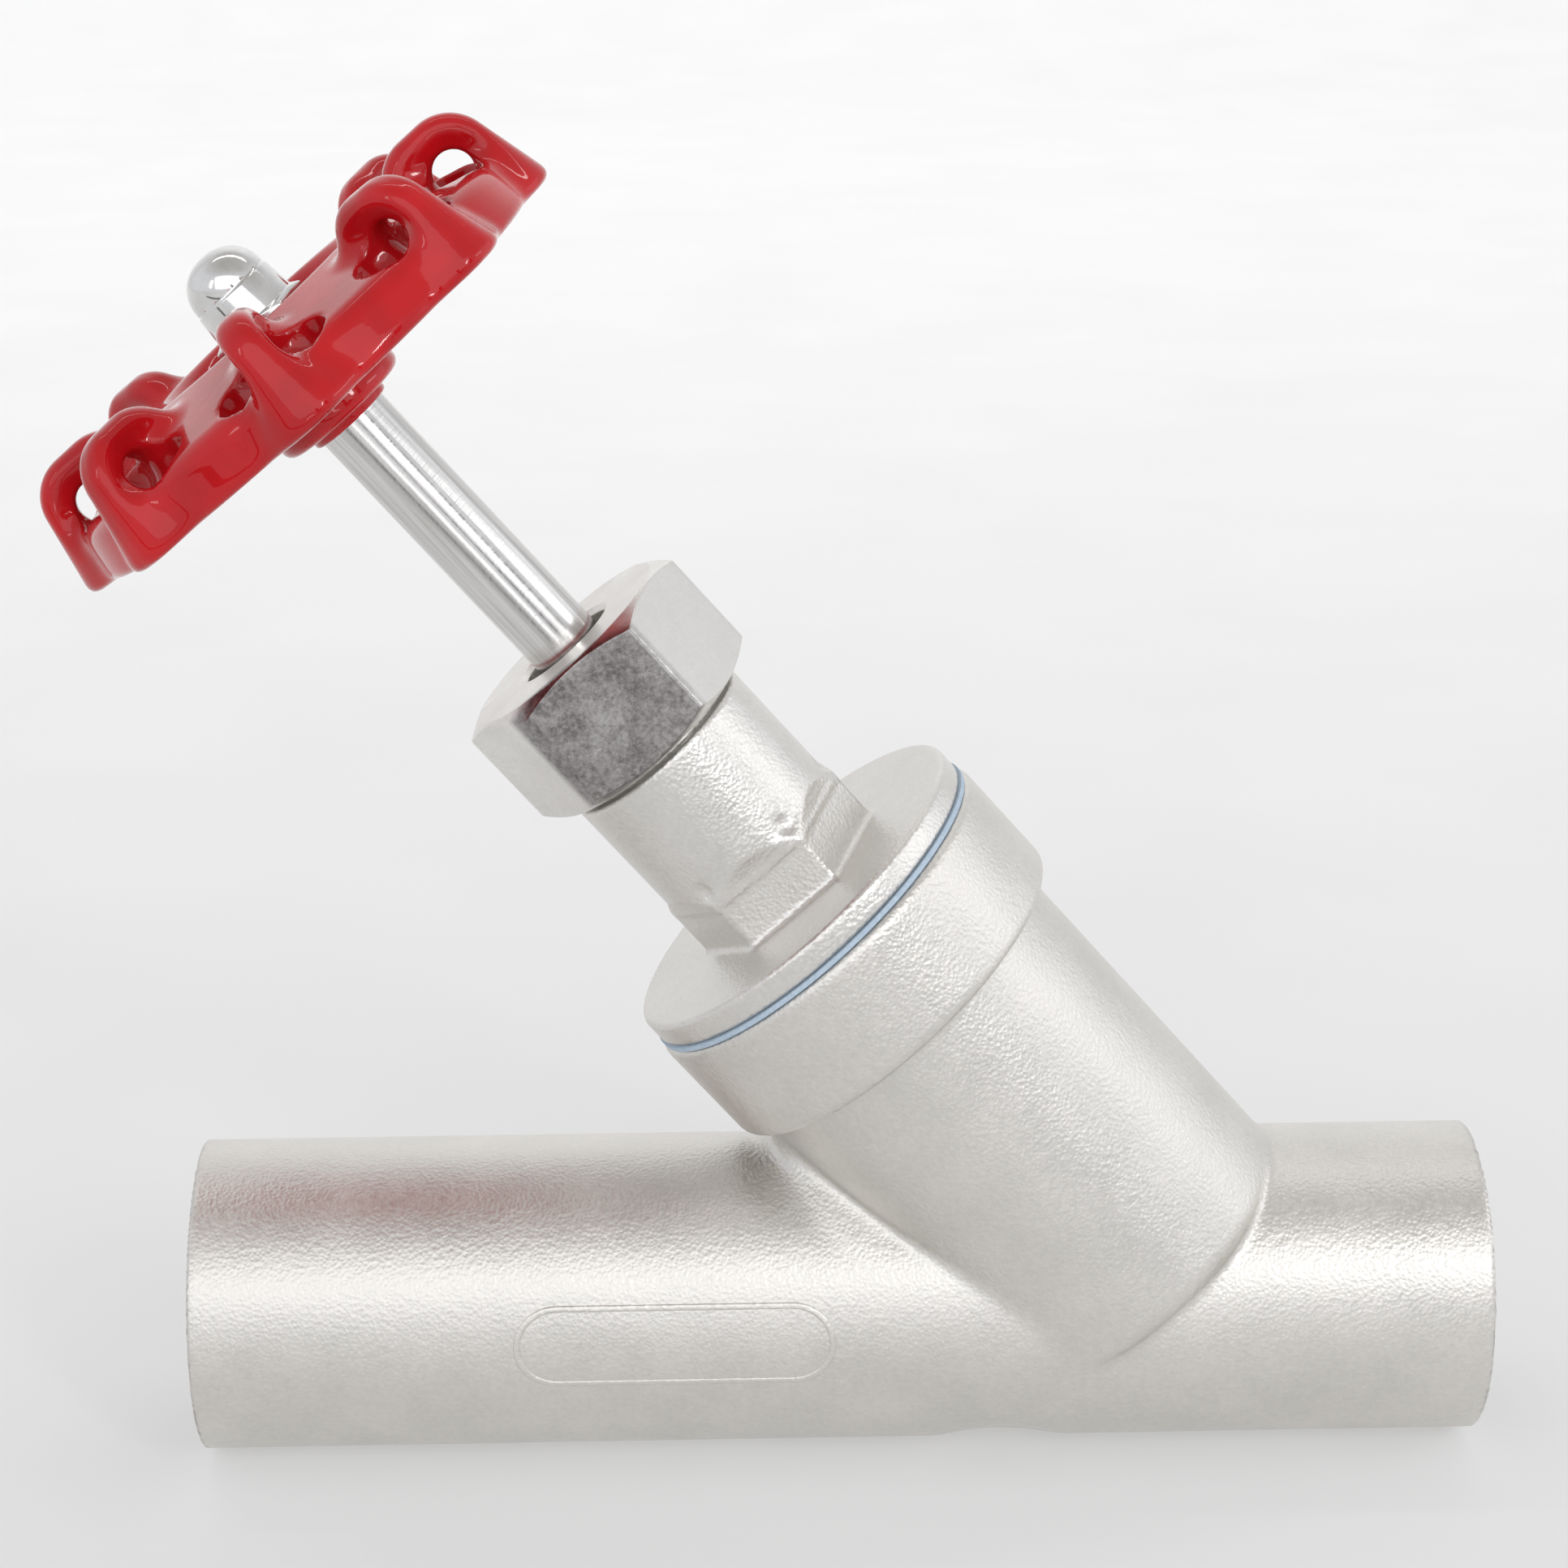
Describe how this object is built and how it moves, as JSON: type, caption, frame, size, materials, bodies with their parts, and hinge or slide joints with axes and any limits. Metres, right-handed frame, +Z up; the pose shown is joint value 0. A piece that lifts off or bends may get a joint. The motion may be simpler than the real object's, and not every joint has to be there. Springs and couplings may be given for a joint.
{
  "type": "globe valve",
  "caption": "Inclined-seat stop valve with butt-weld pipe ends, screwed bonnet, packing nut and a rising stem turned by a lobed handwheel.",
  "frame": {"origin": "centre of the outlet's weld face, on the pipe axis", "axes": "+X along the pipe axis from the outlet to the inlet, +Z up in the plane that holds the stem, so the stem leans towards the outlet"},
  "size_m": [0.1507, 0.064, 0.1454],
  "materials": {
    "cast_body": "blasted investment-cast stainless steel",
    "cast_bonnet": "blasted investment-cast stainless steel",
    "gasket_blue": "blue fibre gasket, matt",
    "turned_steel": "turned stainless steel",
    "ptfe": "white fluoropolymer",
    "nut_steel": "milled flats with scratches",
    "stem_steel": "ground and polished with fine turning lines",
    "red_coating": "thick glossy dipped coating",
    "polished_steel": "mirror polished"
  },
  "bodies": {
    "valve_body": {"body": "cast_body", "bonnet_gasket": "gasket_blue", "bonnet": "cast_bonnet", "packing_washer": "turned_steel", "packing_bottom_adapter": "ptfe", "packing_ring_1": "ptfe", "packing_ring_2": "ptfe", "packing_ring_3": "ptfe", "packing_top_adapter": "ptfe", "gland_bush": "turned_steel", "packing_nut": "nut_steel"},
    "disc": {"disc_holder": "turned_steel", "disc_retaining_ring": "turned_steel", "disc_seal": "ptfe", "seal_washer": "turned_steel", "seal_nut": "turned_steel"},
    "spindle": {"stem": "stem_steel", "handwheel": "red_coating", "wheel_washer": "turned_steel", "wheel_spring_washer": "turned_steel", "cap_nut": "polished_steel"}
  },
  "joints": [
    {"name": "disc_lift", "type": "slide", "parent": "valve_body", "child": "disc", "axis": [-0.6561, 0, 0.7547], "range_m": [-0.013, 0]},
    {"name": "handwheel_turn", "type": "hinge", "parent": "disc", "child": "spindle", "pos_m": [0.03979, 0, 0.07547], "axis": [-0.6561, 0, 0.7547], "range_deg": [-2340, 0]}
  ],
  "couplings": [
    {"joint": "disc_lift", "follows": "handwheel_turn", "m_per_rad": 0.00031831}
  ]
}
